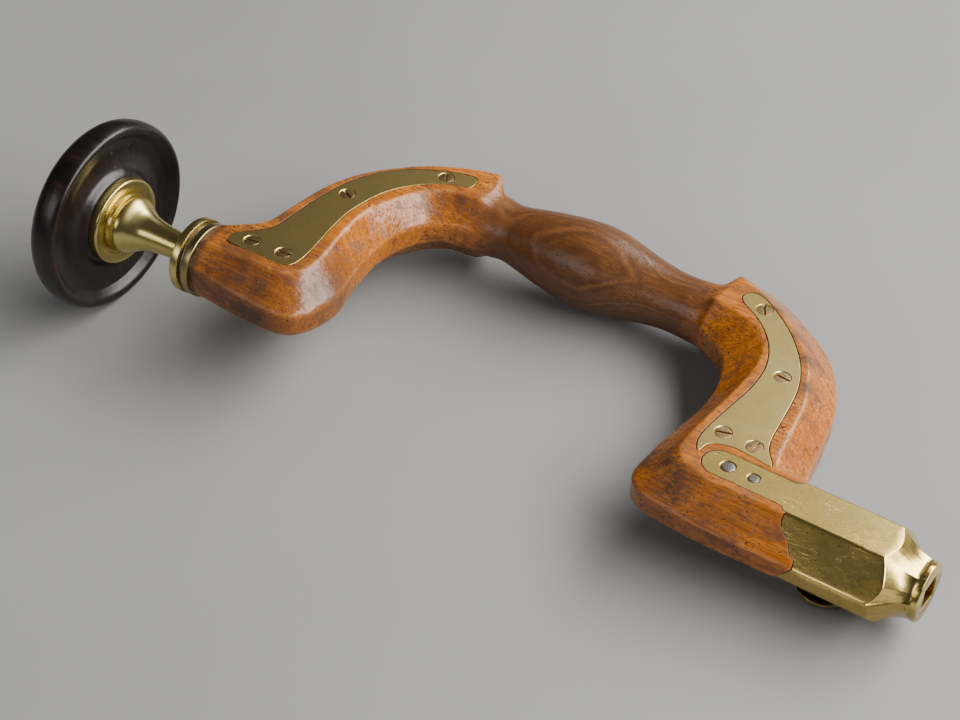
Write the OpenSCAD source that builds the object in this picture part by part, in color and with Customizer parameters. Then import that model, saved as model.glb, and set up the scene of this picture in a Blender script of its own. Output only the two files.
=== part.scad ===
// Wooden carpenter's brace with inlaid brass plates, a brass pad chuck and a turning hardwood head.
// Working frame: X runs along the turning axis from the crown of the head to the nose of the chuck,
// Y is the side the crank is offset to, Z is the normal of the flat plate faces.
// The finished tool is then laid down on its head rim, its catch button and the lower web.

/* [Overall] */

// Length from the crown of the head to the nose of the chuck
brace_l = 366; // [300:1:420]
// Offset of the grip's centre line from the turning axis (half the sweep)
grip_y = 86.8; // [70:0.1:110]
// Thickness of the stock and chuck across the flat faces
stock_t = 29.3; // [24:0.1:36]

/* [Head] */

// Diameter of the head
head_d = 78.4; // [60:0.5:95]
// Roundness radius of the head's rim
rim_r = 5.9; // [3:0.1:9]
// Depth of the dished underside at its middle
dish_d = 3.6; // [1:0.1:6]
// Diameter of the brass flange under the head
flange_d = 35.6; // [28:0.2:44]
// Thickness of the brass flange
flange_t = 4; // [1.5:0.1:5]

/* [Neck and collar] */

// Diameter of the neck's bell where it leaves the flange
bell_d = 24; // [16:0.2:32]
// Diameter of the neck at its waist
waist_d = 11.6; // [9:0.2:18]
// Diameter of the collar that bears on the stock
collar_d = 30.4; // [22:0.2:38]
// Thickness of the collar
collar_t = 3.7; // [2:0.1:6]
// Diameter of the steel thrust washer
washer_d = 27.8; // [18:0.2:34]
// Thickness of the steel thrust washer
washer_t = 1.2; // [0.6:0.1:2.5]
// Diameter of the ferrule on the end of the stock
ferrule_d = 29.8; // [22:0.2:36]
// Thickness of the ferrule
ferrule_t = 3.3; // [2:0.1:6]
// Radius of the steel spindle
spindle_r = 4; // [3:0.1:5.5]
// Radial clearance of the turning neck on the spindle
run_gap = 0.06; // [0.02:0.01:0.1]

/* [Grip] */

// Radius of the grip at its swell
grip_r = 17.7; // [13:0.1:22]
// Radius of the grip at its narrow ends
grip_neck_r = 11.5; // [9:0.1:14]

/* [Plates] */

// Thickness of the inlaid plates
plate_t = 2.4; // [1.5:0.1:3.5]
// Clearance around the let-in straps and the chuck's rear edge
inlay_gap = 0.06; // [0.02:0.01:0.2]
// Diameter of a plate screw's countersunk head
screw_head_d = 6.2; // [4:0.1:8]
// Diameter of a plate screw's shank
screw_d = 2.8; // [2:0.1:4]
// Length of a plate screw
screw_l = 11; // [7:0.5:13]

/* [Chuck] */

// Half width of the chuck between its narrow side flats
chuck_b = 20.2; // [15:0.1:25]
// Half width of the chuck's top flat
chuck_w = 8.6; // [6:0.1:11]
// Radius of the nose rim
nose_r = 10.8; // [7:0.1:14]
// Half width of a strap
strap_w = 6.3; // [4:0.1:9]
// Thickness of a strap
strap_t = 3; // [2:0.1:4.5]
// Width of the square socket at its mouth
socket_w = 10.6; // [8:0.1:13]
// Width of the square socket at its bottom
socket_in_w = 8; // [6:0.1:10]
// Depth of the square socket
socket_l = 31; // [20:0.5:40]
// Radius of the rear strap rivet
rivet_big_r = 2.6; // [1.5:0.1:3.5]
// Radius of the front strap rivet
rivet_small_r = 2.1; // [1:0.1:3]

/* [Catch] */

// Diameter of the catch lever's thumb disc
button_d = 20; // [10:0.5:24]
// Width of the slot the catch lever works in
slot_w = 5.2; // [4:0.1:7]
// Width of the catch lever
lever_w = 4.8; // [3.5:0.1:6.5]
// Radius of the catch lever's pivot pin
pin_r = 1.25; // [1:0.05:2]
// Thickness of the leaf spring
spring_t = 0.6; // [0.3:0.05:1]

/* [Resting pose] */

// Roll that brings the lower web down to the table, degrees
rest_roll = -6.189; // [-12:0.001:12]
// Pitch that brings the catch button down to the table, degrees
rest_pitch = 3.441; // [-12:0.001:12]
// Height of the turning axis above the table at the crown
rest_lift = 39.878; // [20:0.001:60]
// Shift that centres the tool lengthwise
rest_x = -182.809; // [-220:0.001:-150]
// Shift that centres the tool across
rest_y = -35.798; // [-80:0.001:0]

/* [Hidden] */

$fn = 96;

face_z = stock_t / 2;
side_z = 4.2;
head_r = head_d / 2;
flange_x = 20.9;
collar_x = 55.3;
washer_x = collar_x + collar_t + 0.25;
ferrule_x = washer_x + washer_t + 0.25;
wood_x = ferrule_x + ferrule_t;
chuck_x = 314;
cove_x = 350.5;
pivot_x = brace_l - 26;
pivot_z = -10.8;
button_x = pivot_x - 9;
button_z = -19;
rivet_rear_x = 289.3;
rivet_front_x = 299.1;

// Smooth curve through a short list of control points, with k steps between neighbours.
function crom(a, b, c, d, t) = 0.5 * ((2 * b) + (c - a) * t + (2 * a - 5 * b + 4 * c - d) * t * t
  + (3 * b - a - 3 * c + d) * t * t * t);
function at(p, i) = p[max(0, min(len(p) - 1, i))];
function open_curve(p, k) = concat([for (i = [0 : len(p) - 2]) for (j = [0 : k - 1])
  crom(at(p, i - 1), at(p, i), at(p, i + 1), at(p, i + 2), j / k)], [p[len(p) - 1]]);
function wrap(p, i) = p[(i + len(p)) % len(p)];
function closed_curve(p, k) = [for (i = [0 : len(p) - 1]) for (j = [0 : k - 1])
  crom(wrap(p, i - 1), wrap(p, i), wrap(p, i + 1), wrap(p, i + 2), j / k)];

// Edges of the crank in plan, from each block up to the crest at the grip.
head_face_out = [[wood_x, 7.4], [72, 12], [78.2, 19.5], [79.8, 36], [82.5, 55], [91, 72.5], [106, 88],
  [119.6, 96], [131.5, 100]];
head_side_out = [[wood_x, 13.4], [67.3, 19.5], [69.3, 29], [70, 42], [72.5, 57], [80.5, 77], [97.5, 97],
  [113, 106], [126.5, 109.2]];
head_face_in = [[wood_x, -5.4], [88, -4.9], [103.5, -3], [108.3, 8], [104.5, 33], [104.2, 49],
  [111.5, 68.5], [121.5, 78.3], [132, 80.6]];
head_side_in = [[wood_x, -13.4], [88, -16], [112, -14.5], [119.8, 3], [115.3, 26], [113.4, 46],
  [117.5, 61.5], [124, 69], [133, 72]];
chuck_face_out = [[330, 8.6], [307, 8.7], [301.8, 14], [299, 28], [295.2, 47.5], [285, 69.5],
  [268.5, 85], [256, 92.5], [242.4, 98.7]];
chuck_side_out = [[330, 20.2], [313, 20.3], [309.3, 26], [306.6, 42], [301, 64], [289, 84], [271, 98.5],
  [257, 106], [242.4, 111]];
chuck_face_in = [[330, -8.6], [290, -9], [273.5, -4], [270.8, 9], [272.2, 35], [272, 56], [266.5, 71],
  [256, 77.5], [241.5, 80.6]];
chuck_side_in = [[330, -20.2], [285, -20.8], [262, -15.5], [259.3, 3], [262, 31], [261, 47], [256, 60],
  [250, 67], [241, 72]];

// Outlines of the two plate patterns.
upper_outline = [[74.2, -0.6], [87, -0.7], [98.5, -0.6], [102.7, 3.2], [102.4, 14], [99.8, 31],
  [99, 44], [101.8, 60.5], [109, 73], [119, 81.6], [127.2, 85], [126.3, 91.8], [118.5, 90.6],
  [106, 84.4], [94, 73.5], [87, 59.5], [84, 43.5], [83, 28], [82, 17], [77.5, 10.4], [72.8, 5.6],
  [72.4, 1.6]];
lower_outline = [[277.2, 1.3], [278.6, 6.6], [285, 9.6], [294, 9.4], [301.2, 8.9], [297, 15.4],
  [294.7, 22], [292.2, 40], [289.7, 52.2], [284.6, 64], [275.6, 76], [264.5, 86], [254.6, 92],
  [249.3, 90.2], [250.4, 85], [260.5, 78.3], [269.5, 68.5], [275, 56], [276.3, 42], [274.8, 25],
  [273.9, 11], [274.8, 5]];
upper_screws = [[80.7, 4.9, 15], [95, 5.9, 8], [91.1, 52, -40], [115.8, 85.2, 95]];
lower_screws = [[291.9, 14.4, 80], [279.6, 14.7, 20], [282.6, 53.8, -5], [259.2, 85.3, 120]];

module lie_down() {
  translate([rest_x, rest_y, rest_lift]) rotate([rest_roll, rest_pitch, 0]) children();
}

// Turned shape about the X axis from [x, r] pairs.
module turned(p) {
  rotate([0, 90, 0]) rotate_extrude() polygon([for (q = p) [q[1], q[0]]]);
}

module rod(x0, x1, r) {
  translate([x0, 0, 0]) rotate([0, 90, 0]) cylinder(h = x1 - x0, r = r);
}

module mirrored(back) {
  if (back) mirror([0, 0, 1]) children();
  else children();
}

// One limb of the crank: an eight-sided bar between four plan edges, closing down to the grip.
module limb(fo, so, fi, si, z0, c0, xs, xm, xe, flip) {
  k = 5;
  a = open_curve(fo, k);
  b = open_curve(so, k);
  c = open_curve(fi, k);
  d = open_curve(si, k);
  n = len(a);
  za = [for (i = [0 : n - 1]) face_z - (face_z - z0) * max(0, 1 - i / 5)];
  zc = [for (i = [0 : n - 1]) c0 + (side_z - c0) * min(1, i / 12)];
  body = [for (i = [0 : n - 1]) [[a[i][0], a[i][1], za[i]], [b[i][0], b[i][1], zc[i]],
    [b[i][0], b[i][1], -zc[i]], [a[i][0], a[i][1], -za[i]], [c[i][0], c[i][1], -za[i]],
    [d[i][0], d[i][1], -zc[i]], [d[i][0], d[i][1], zc[i]], [c[i][0], c[i][1], za[i]]]];
  last = body[n - 1];
  ends = [for (s = [[xs, 0.66], [xm, 0.86], [xe, 1]]) [for (j = [0 : 7]) let (
    q = last[j], ang = 67.5 - 45 * j, r = grip_neck_r * 0.98,
    g = [s[0], grip_y + r * cos(ang), r * sin(ang)])
    [s[0], q[1] + (g[1] - q[1]) * s[1], q[2] + (g[2] - q[2]) * s[1]]]];
  rings = concat(body, ends);
  m = len(rings);
  pts = [for (r = rings) for (q = r) q];
  walls = [for (i = [0 : m - 2]) for (j = [0 : 7]) let (e = (j + 1) % 8, p = i * 8, q = p + 8)
    each [[p + j, q + e, p + e], [p + j, q + j, q + e]]];
  caps = [[0, 1, 2, 3, 4, 5, 6, 7], [for (j = [7 : -1 : 0]) (m - 1) * 8 + j]];
  faces = concat(walls, caps);
  polyhedron(pts, flip ? [for (f = faces) [for (i = [len(f) - 1 : -1 : 0]) f[i]]] : faces, convexity = 6);
}

module grip() {
  prof = open_curve([[132, 12.5], [140, grip_neck_r + 0.9], [147.5, grip_neck_r + 0.3],
    [156, grip_neck_r + 1.8], [166, grip_r - 2.3], [180, grip_r - 0.3], [191, grip_r - 0.3], [204, grip_r - 2.9],
    [213, grip_neck_r + 1.4], [222, grip_neck_r + 0.3], [232, grip_neck_r + 0.6], [242, 12.5]], 4);
  translate([0, grip_y, 0]) turned(concat([[132, 0]], prof, [[242, 0]]));
}

module plate_shape(outline) {
  polygon(closed_curve(outline, 4));
}

module plate(outline, screws) {
  difference() {
    translate([0, 0, face_z - plate_t]) linear_extrude(plate_t) plate_shape(outline);
    for (s = screws) screw_hole(s);
  }
}

module screw_hole(s) {
  translate([s[0], s[1], 0]) {
    translate([0, 0, face_z - 2.1]) cylinder(h = 2.1, r1 = screw_d / 2 + 0.05, r2 = screw_head_d / 2 + 0.05);
    translate([0, 0, face_z - screw_l - 0.2]) cylinder(h = screw_l, r = screw_d / 2 + 0.05);
  }
}

module screws(list) {
  for (s = list) translate([s[0], s[1], 0]) rotate([0, 0, s[2]]) difference() {
    union() {
      translate([0, 0, face_z - 2.1]) cylinder(h = 2.1, r1 = screw_d / 2, r2 = screw_head_d / 2);
      translate([0, 0, face_z - screw_l]) cylinder(h = screw_l - 2, r = screw_d / 2);
    }
    translate([-5, -0.4, face_z - 0.9]) cube([10, 0.8, 2]);
  }
}

// Plan shape of the wedge line where brass meets wood, ahead of the strap roots.
module pad_plan(grow) {
  polygon([[chuck_x - grow, -chuck_w - 0.4], [chuck_x + 12.4 - grow, -chuck_b - 1.2],
    [brace_l + 5, -chuck_b - 1.2], [brace_l + 5, chuck_b + 1.2], [chuck_x + 12.4 - grow, chuck_b + 1.2],
    [chuck_x - grow, chuck_w + 0.4]]);
}

module strap(grow) {
  w = strap_w + grow;
  v = chuck_w - 0.4 + grow;
  linear_extrude(strap_t + grow) union() {
    translate([chuck_x - 27.8, 0]) circle(r = w);
    polygon([[chuck_x - 27.8, -w], [chuck_x - 3, -w], [chuck_x + 1, -v], [chuck_x + 3, -v],
      [chuck_x + 3, v], [chuck_x + 1, v], [chuck_x - 3, w], [chuck_x - 27.8, w]]);
  }
}

module straps(grow) {
  for (back = [false, true]) mirrored(back) translate([0, 0, face_z - strap_t - grow]) strap(grow);
}

module stock() color("sienna") difference() {
  union() {
    limb(head_face_out, head_side_out, head_face_in, head_side_in, 13.2, 5.6, 137, 142, 148, true);
    limb(chuck_face_out, chuck_side_out, chuck_face_in, chuck_side_in, face_z, 3.05, 239, 234.5, 227, false);
    grip();
  }
  translate([0, 0, -40]) linear_extrude(80) pad_plan(inlay_gap);
  straps(inlay_gap);
  for (back = [false, true]) mirrored(back) {
    translate([0, 0, face_z - plate_t]) linear_extrude(6) plate_shape(upper_outline);
    translate([0, 0, face_z - plate_t]) linear_extrude(6) plate_shape(lower_outline);
    for (s = concat(upper_screws, lower_screws)) screw_hole(s);
  }
  translate([rivet_rear_x, 0, -20]) cylinder(h = 40, r = rivet_big_r + 0.03);
  translate([rivet_front_x, 0, -20]) cylinder(h = 40, r = rivet_small_r + 0.03);
  rod(wood_x - 5, wood_x + 44.2, spindle_r + 0.04);
}

module upper_plate_front() color("darkkhaki") plate(upper_outline, upper_screws);
module upper_plate_back() color("darkkhaki") mirrored(true) plate(upper_outline, upper_screws);
module lower_plate_front() color("darkkhaki") plate(lower_outline, lower_screws);
module lower_plate_back() color("darkkhaki") mirrored(true) plate(lower_outline, lower_screws);
module upper_screws_front() color("goldenrod") screws(upper_screws);
module upper_screws_back() color("goldenrod") mirrored(true) screws(upper_screws);
module lower_screws_front() color("goldenrod") screws(lower_screws);
module lower_screws_back() color("goldenrod") mirrored(true) screws(lower_screws);

module chuck_bar() {
  c = 3.05;
  rotate([90, 0, 90]) linear_extrude(brace_l) polygon([[chuck_w, face_z], [chuck_b, c], [chuck_b, -c],
    [chuck_w, -face_z], [-chuck_w, -face_z], [-chuck_b, -c], [-chuck_b, c], [-chuck_w, face_z]]);
}

module nose_form() {
  turned(concat([[chuck_x - 2, 0], [chuck_x - 2, 26], [cove_x - 2, 26]], open_curve([[cove_x, 20.6],
    [cove_x + 1.2, 17.8], [cove_x + 3.4, 15.3], [cove_x + 6.2, 13.1], [cove_x + 9.4, 11.6],
    [cove_x + 12.6, 10.9]], 4), [[cove_x + 13.4, nose_r], [brace_l - 0.5, nose_r], [brace_l, nose_r - 0.5],
    [brace_l, 0]]));
}

module socket() {
  hull() {
    translate([brace_l, -socket_w / 2, -socket_w / 2]) cube([0.01, socket_w, socket_w]);
    translate([brace_l - socket_l, -socket_in_w / 2, -socket_in_w / 2]) cube([0.01, socket_in_w, socket_in_w]);
  }
}

module chuck() color("gold") difference() {
  union() {
    intersection() {
      chuck_bar();
      nose_form();
      translate([0, 0, -40]) linear_extrude(80) pad_plan(0);
    }
    straps(0);
  }
  socket();
  translate([316.5, -slot_w / 2, -face_z - 1]) cube([34, slot_w, face_z + 1 - 7.2]);
  translate([344.6, -slot_w / 2, -8]) cube([5.9, slot_w, 5]);
  translate([pivot_x, 0, pivot_z]) rotate([90, 0, 0]) cylinder(h = 60, r = pin_r + 0.02, center = true);
  translate([320.5, 0, -7.5]) cylinder(h = 5.6, r = 0.82);
  translate([rivet_rear_x, 0, -20]) cylinder(h = 40, r = rivet_big_r + 0.03);
  translate([rivet_front_x, 0, -20]) cylinder(h = 40, r = rivet_small_r + 0.03);
}

module rivet_rear() color("silver") translate([rivet_rear_x, 0, -face_z]) cylinder(h = stock_t, r = rivet_big_r);
module rivet_front() color("silver") translate([rivet_front_x, 0, -face_z]) cylinder(h = stock_t, r = rivet_small_r);

module catch_lever() color("gold") difference() {
  union() {
    translate([328, -lever_w / 2, -13.2]) cube([21, lever_w, 3.6]);
    translate([pivot_x, 0, pivot_z]) rotate([90, 0, 0]) cylinder(h = lever_w, r = 3.2, center = true);
    translate([345.5, -lever_w / 2, -11]) cube([3.5, lever_w, 7.4]);
    translate([button_x, 0, -17.2]) cylinder(h = 5, r = 2.1);
    translate([button_x, 0, button_z]) cylinder(h = 1.4, r1 = button_d / 2 - 0.6, r2 = button_d / 2);
    translate([button_x, 0, button_z + 1.4]) cylinder(h = 0.6, r = button_d / 2);
  }
  translate([pivot_x, 0, pivot_z]) rotate([90, 0, 0]) cylinder(h = 20, r = pin_r + run_gap, center = true);
  translate([button_x, 0, button_z - 16.2]) sphere(r = 17);
}

module catch_pin() color("silver") translate([pivot_x, 0, pivot_z]) rotate([90, 0, 0])
  cylinder(h = 24.6, r = pin_r, center = true);

module catch_spring() color("slategray") difference() {
  translate([0, 2, 0]) rotate([90, 0, 0]) linear_extrude(4) polygon([[317.4, -7.2], [325, -7.2],
    [330.8, -9], [330.6, -9 - spring_t], [325, -7.2 - spring_t], [317.4, -7.2 - spring_t]]);
  translate([320.5, 0, -10]) cylinder(h = 4, r = 0.84);
}

module spring_screw() color("silver") union() {
  translate([320.5, 0, -9]) cylinder(h = 1.2, r = 1.8);
  translate([320.5, 0, -8]) cylinder(h = 6, r = 0.8);
}

module ferrule() color("gold") turned([[wood_x, spindle_r + 0.05], [wood_x, ferrule_d / 2 - 0.3],
  [wood_x - 0.3, ferrule_d / 2], [ferrule_x + 0.6, ferrule_d / 2], [ferrule_x, ferrule_d / 2 - 0.6],
  [ferrule_x, 9], [ferrule_x - 0.25, 9], [ferrule_x - 0.25, spindle_r + 0.05]]);

module thrust_washer() color("silver") turned([[washer_x, spindle_r + 0.05], [washer_x, washer_d / 2 - 0.2],
  [washer_x + 0.2, washer_d / 2], [washer_x + washer_t - 0.2, washer_d / 2],
  [washer_x + washer_t, washer_d / 2 - 0.2], [washer_x + washer_t, spindle_r + 0.05]]);

module neck() color("gold") difference() {
  turned(concat([[8, 0], [8, 9.5], [flange_x, 9.5], [flange_x, bell_d / 2 + 0.3]],
    open_curve([[flange_x + 1.6, bell_d / 2 - 0.2], [flange_x + 3.2, bell_d / 2], [flange_x + 5.2, bell_d / 2 - 0.6],
    [flange_x + 8.5, bell_d / 2 - 2.7], [flange_x + 12.5, waist_d / 2 + 1.6], [flange_x + 18, waist_d / 2 + 0.5],
    [flange_x + 25, waist_d / 2 - 0.1], [flange_x + 31, waist_d / 2 - 0.3], [collar_x - 1, waist_d / 2 + 0.3],
    [collar_x, waist_d / 2 + 2.6]], 4),
    [[collar_x, collar_d / 2 - 0.7], [collar_x + 0.7, collar_d / 2], [collar_x + collar_t - 0.6, collar_d / 2],
    [collar_x + collar_t, collar_d / 2 - 0.6], [collar_x + collar_t, 9], [collar_x + collar_t + 0.19, 9],
    [collar_x + collar_t + 0.19, 0]]));
  rod(0, 70, spindle_r + run_gap);
  rod(0, 13.7, 7);
}

module head_flange() color("gold") turned([[flange_x - flange_t, 9.55], [flange_x - flange_t, flange_d / 2 - 0.3],
  [flange_x - flange_t + 0.3, flange_d / 2], [flange_x - 0.5, flange_d / 2], [flange_x, flange_d / 2 - 0.5],
  [flange_x, 9.55]]);

module head() color("black") difference() {
  turned(concat(open_curve([[0, 0.01], [0.5, 14], [1.7, 24], [3.3, head_r - rim_r]], 5),
    open_curve([[3.3, head_r - rim_r], [4.7, head_r - 2.6], [7.6, head_r - 0.6], [11.3, head_r], [14.2, head_r - 0.2],
    [16.2, head_r - 1], [16.9, head_r - 2.3], [16.3, head_r - 3.8], [14.9, head_r - 5.2], [13.4, head_r - 6.7]], 4),
    open_curve([[13.4, head_r - 6.7], [16.1 - dish_d, 28], [16.4 - dish_d, 25], [14, 21.2],
    [flange_x - flange_t - 0.6, 18.9], [flange_x - flange_t, 18.3]], 4), [[flange_x - flange_t, 0.01]]));
  rod(7.9, 30, 9.55);
}

module spindle() color("silver") union() {
  rod(9, 12.5, 6.4);
  rod(10, wood_x + 44, spindle_r);
}

module spindle_washer() color("silver") turned([[12.5, spindle_r + 0.05], [12.5, 6.6], [13.6, 6.6],
  [13.6, spindle_r + 0.05]]);

lie_down() stock();
lie_down() upper_plate_front();
lie_down() upper_plate_back();
lie_down() lower_plate_front();
lie_down() lower_plate_back();
lie_down() upper_screws_front();
lie_down() upper_screws_back();
lie_down() lower_screws_front();
lie_down() lower_screws_back();
lie_down() chuck();
lie_down() rivet_rear();
lie_down() rivet_front();
lie_down() catch_lever();
lie_down() catch_pin();
lie_down() catch_spring();
lie_down() spring_screw();
lie_down() ferrule();
lie_down() thrust_washer();
lie_down() neck();
lie_down() head_flange();
lie_down() head();
lie_down() spindle();
lie_down() spindle_washer();
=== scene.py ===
import math

import bmesh
import bpy
import numpy as np
from mathutils import Matrix, Vector, noise


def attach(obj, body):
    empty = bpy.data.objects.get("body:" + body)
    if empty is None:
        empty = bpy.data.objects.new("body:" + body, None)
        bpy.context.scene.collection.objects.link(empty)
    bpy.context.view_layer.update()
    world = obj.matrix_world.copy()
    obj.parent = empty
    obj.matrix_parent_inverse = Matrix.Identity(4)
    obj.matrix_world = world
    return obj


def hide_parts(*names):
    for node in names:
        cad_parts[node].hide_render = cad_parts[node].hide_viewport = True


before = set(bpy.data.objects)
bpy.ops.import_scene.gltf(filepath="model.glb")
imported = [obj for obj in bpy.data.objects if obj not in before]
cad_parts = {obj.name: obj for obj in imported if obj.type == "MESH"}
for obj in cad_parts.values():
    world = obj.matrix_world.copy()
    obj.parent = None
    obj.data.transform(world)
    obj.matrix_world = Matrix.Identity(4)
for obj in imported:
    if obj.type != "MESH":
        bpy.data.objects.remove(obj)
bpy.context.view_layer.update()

# Brace frame, in mm: x along the turning axis from crown to nose, y to the crank's side, z the
# normal of the plate faces. REST lays it down as the CAD does.
MM = 0.001
ROLL = math.radians(-6.189)
PITCH = math.radians(3.441)
SHIFT = Vector((-182.809, -35.798, 39.878)) * MM
REST = Matrix.Translation(SHIFT) @ Matrix.Rotation(PITCH, 4, "Y") @ Matrix.Rotation(ROLL, 4, "X")

# half the stock's thickness, and half the height of the flats along the limbs' sides
FACE_Z = 14.65
SIDE_Z = 4.2
# the grip's axis, the head end of the stock, and the tip of the nose
GRIP_Y = 86.8
WOOD_X = 64.0
NOSE_X = 366.0
# the bar of the chuck: half the width of its faces, half its breadth, half the height of its sides
BAR_W, BAR_B, BAR_C = 8.6, 20.2, 3.05
# the straps: centre of their round end, half width, and half width where they meet the bar
STRAP_X, STRAP_W, STRAP_ROOT = 286.2, 6.3, 8.2
# x and radius of the two rivets' holes, then the radius of each rivet
RIVETS = (("rear", 289.3, 2.96, 2.6), ("front", 299.1, 2.44, 2.1))
FULL_TURN = 2 * math.pi

# ---------------------------------------------------------------- curves


def crom(a, b, c, d, t):
    """Catmull-Rom point between b and c."""
    square = 2 * a - 5 * b + 4 * c - d
    cube = 3 * b - a - 3 * c + d
    return 0.5 * (2 * b + (c - a) * t + square * t * t + cube * t ** 3)


def spans(at, count, k):
    """k points in each of count spans, where at(i) is control point i."""
    steps = [(i, j / k) for i in range(count) for j in range(k)]
    return [crom(at(i - 1), at(i), at(i + 1), at(i + 2), t) for i, t in steps]


def open_curve(points, k):
    p = [np.array(q, float) for q in points]
    return np.array(spans(lambda i: p[max(0, min(len(p) - 1, i))], len(p) - 1, k) + [p[-1]])


def closed_curve(points, k):
    p = [np.array(q, float) for q in points]
    return np.array(spans(lambda i: p[i % len(p)], len(p), k))


def offset(outline, d):
    """Closed outline moved outwards by d."""
    a = np.roll(outline, 1, 0)
    b = np.roll(outline, -1, 0)
    t = b - a
    t /= np.linalg.norm(t, axis=1)[:, None] + 1e-9
    n = np.stack([t[:, 1], -t[:, 0]], 1)
    x, y = outline[:, 0], outline[:, 1]
    area = 0.5 * np.sum(x * np.roll(y, -1) - np.roll(x, -1) * y)
    return outline + n * d * (1 if area > 0 else -1)


def nz(v, scale, seed=0.0):
    """Smooth noise at a point in mm; another seed gives another field."""
    return noise.noise(Vector((v[0] * scale + seed, v[1] * scale - seed, v[2] * scale + 2 * seed)))


# ---------------------------------------------------------------- meshes


def make(name, verts, faces, wear_and_shade=None, sharp=35, world=REST):
    """Mesh object from brace-frame points in mm. wear is one (r, g, b) per point."""
    me = bpy.data.meshes.new(name)
    points = [tuple(float(c) * MM for c in v) for v in verts]
    me.from_pydata(points, [], [tuple(int(i) for i in f) for f in faces])
    me.transform(world)
    me.update()
    if wear_and_shade is not None:
        layer = me.color_attributes.new("wear_and_shade", "FLOAT_COLOR", "CORNER")
        idx = np.zeros(len(me.loops), np.int32)
        me.loops.foreach_get("vertex_index", idx)
        col = np.ones((len(idx), 4), np.float32)
        col[:, :3] = np.asarray(wear_and_shade, np.float32)[idx]
        layer.data.foreach_set("color", col.ravel())
    bm = bmesh.new()
    bm.from_mesh(me)
    bmesh.ops.recalc_face_normals(bm, faces=bm.faces)
    bm.to_mesh(me)
    bm.free()
    ob = bpy.data.objects.new(name, me)
    bpy.context.scene.collection.objects.link(ob)
    shade(ob, sharp)
    return ob


def shade(ob, sharp):
    ob.data.shade_smooth()
    ob.data.set_sharp_from_angle(angle=math.radians(sharp))


def loft(rings, caps=True):
    """Quads between closed rings of equal length; returns verts, faces."""
    r = np.asarray(rings, float)
    m, n = r.shape[:2]
    faces = []
    for i in range(m - 1):
        for j in range(n):
            e = (j + 1) % n
            faces.append((i * n + j, i * n + e, (i + 1) * n + e, (i + 1) * n + j))
    if caps:
        faces += [tuple(range(n)), tuple((m - 1) * n + j for j in range(n))]
    return r.reshape(-1, 3), faces


def angles(count):
    return np.linspace(0, FULL_TURN, count, endpoint=False)


def disc(a, r, z, x=0.0, y=0.0):
    """Ring of radius r at height z, one point per angle of a."""
    return np.stack([x + r * np.cos(a), y + r * np.sin(a), np.full(len(a), z)], 1)


def lathe(name, profile, segments=192, wobble=0.0, sharp=35):
    """Turned piece about x from (x, r) pairs; the profile comes back on itself round a bore."""
    a = angles(segments)
    rings = []
    for x, r in np.asarray(profile, float):
        ring = np.stack([np.full(segments, x), r * np.cos(a), r * np.sin(a)], 1)
        if wobble:
            for v in ring:
                k = wobble * (nz(v, 0.09) + 0.4 * nz(v, 0.35, 3))
                d = math.hypot(v[1], v[2])
                if d > 1e-6:
                    v[1] += v[1] / d * k
                    v[2] += v[2] / d * k
        rings.append(ring)
    verts, faces = loft(rings, caps=False)
    last = (len(rings) - 1) * segments
    for j in range(segments):
        e = (j + 1) % segments
        faces.append((last + j, last + e, e, j))
    return make(name, verts, faces, sharp=sharp)


def prism(outline, z0, z1):
    """Closed outline in x and y, drawn out from z0 to z1."""
    o = np.asarray(outline, float)
    n = len(o)
    lo = np.column_stack([o, np.full(n, z0)])
    hi = np.column_stack([o, np.full(n, z1)])
    return loft([lo, hi])


def join(parts):
    verts, faces, base = [], [], 0
    for v, f in parts:
        verts += [tuple(q) for q in v]
        faces += [tuple(i + base for i in face) for face in f]
        base += len(v)
    return verts, faces


def cut(ob, parts, sharp=35, world=REST):
    """Takes closed parts out of ob's mesh."""
    cutter = make("cutter", *join(parts), world=world)
    mod = ob.modifiers.new("cut", "BOOLEAN")
    mod.operation = "DIFFERENCE"
    mod.solver = "EXACT"
    mod.object = cutter
    bpy.context.view_layer.update()
    graph = bpy.context.evaluated_depsgraph_get()
    done = bpy.data.meshes.new_from_object(ob.evaluated_get(graph))
    ob.modifiers.clear()
    ob.data = done
    bpy.data.objects.remove(cutter)
    shade(ob, sharp)
    return ob


# ---------------------------------------------------------------- materials


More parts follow.
